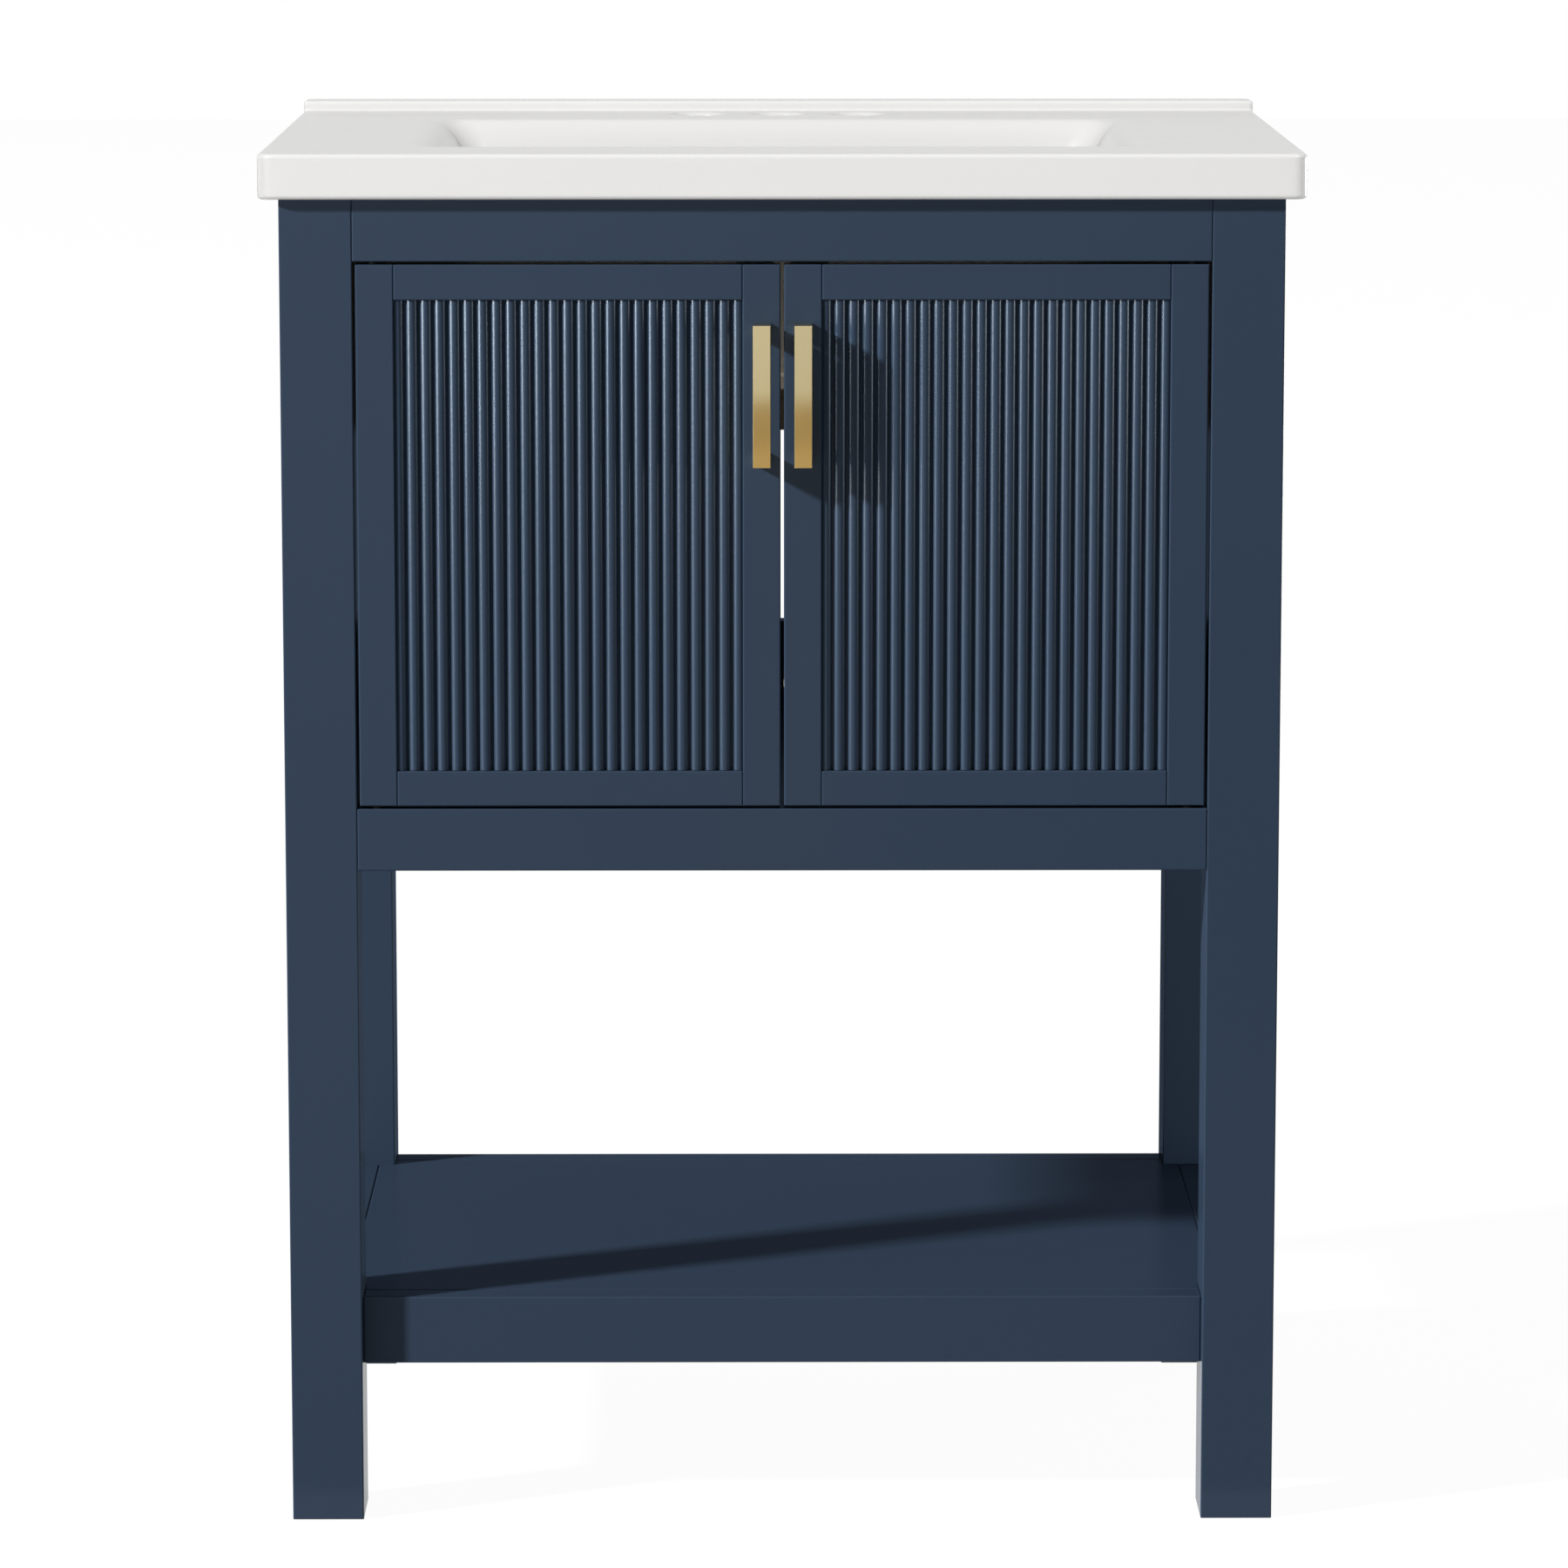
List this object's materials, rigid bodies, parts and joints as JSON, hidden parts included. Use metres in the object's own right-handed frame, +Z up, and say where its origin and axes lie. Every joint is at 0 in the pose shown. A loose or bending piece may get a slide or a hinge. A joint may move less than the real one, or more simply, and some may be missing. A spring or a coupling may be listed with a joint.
{
  "type": "bathroom vanity cabinet",
  "caption": "Bathroom vanity on square legs with reeded double doors, gold bar pulls, an open lower shelf and a white ceramic basin top with tap holes",
  "frame": {"origin": "on the floor, at the middle of the whole object's width and depth", "axes": "+Z up, +Y towards the wall, the doors face -Y, +X to the right for a person who faces the doors"},
  "size_m": [0.61, 0.469, 0.823],
  "materials": {
    "navy_paint": "satin navy paint on hardwood and fibreboard",
    "raw_wood": "unpainted",
    "white_ceramic": "glossy white glaze",
    "gold": "brushed champagne gold",
    "steel": "zinc plated",
    "catch_plastic": "moulded"
  },
  "bodies": {
    "carcass": {"leg_front_left": "navy_paint", "leg_front_right": "navy_paint", "leg_rear_left": "navy_paint", "leg_rear_right": "navy_paint", "face_rail_top": "navy_paint", "face_rail_bottom": "navy_paint", "side_panel_left": "navy_paint", "side_panel_right": "navy_paint", "back_rail_upper": "raw_wood", "back_rail_lower": "navy_paint", "cabinet_floor": "navy_paint", "corner_blocks": "raw_wood", "corner_block_screws": "steel", "floor_battens": "navy_paint", "shelf_rail_front": "navy_paint", "shelf_rail_rear": "navy_paint", "shelf_rail_left": "navy_paint", "shelf_rail_right": "navy_paint", "shelf_battens": "navy_paint", "shelf_board": "navy_paint", "basin_top": "white_ceramic", "door_pivot_pins": "steel", "magnetic_catches": "catch_plastic", "catch_magnets": "steel", "catch_screws": "steel"},
    "left_door": {"left_door_hinge_stile": "navy_paint", "left_door_latch_stile": "navy_paint", "left_door_top_rail": "navy_paint", "left_door_bottom_rail": "navy_paint", "left_door_reeded_panel": "navy_paint", "left_door_pivot_bushes": "steel", "left_door_pull": "gold", "left_door_pull_screws": "steel", "left_door_strike_plate": "steel"},
    "right_door": {"right_door_hinge_stile": "navy_paint", "right_door_latch_stile": "navy_paint", "right_door_top_rail": "navy_paint", "right_door_bottom_rail": "navy_paint", "right_door_reeded_panel": "navy_paint", "right_door_pivot_bushes": "steel", "right_door_pull": "gold", "right_door_pull_screws": "steel", "right_door_strike_plate": "steel"}
  },
  "joints": [
    {"name": "left_door_hinge", "type": "hinge", "parent": "carcass", "child": "left_door", "pos_m": [-0.2388, -0.2095, 0.5923], "axis": [0, 0, -1], "range_deg": [0, 110]},
    {"name": "right_door_hinge", "type": "hinge", "parent": "carcass", "child": "right_door", "pos_m": [0.2388, -0.2095, 0.5923], "axis": [0, 0, 1], "range_deg": [0, 110]}
  ]
}
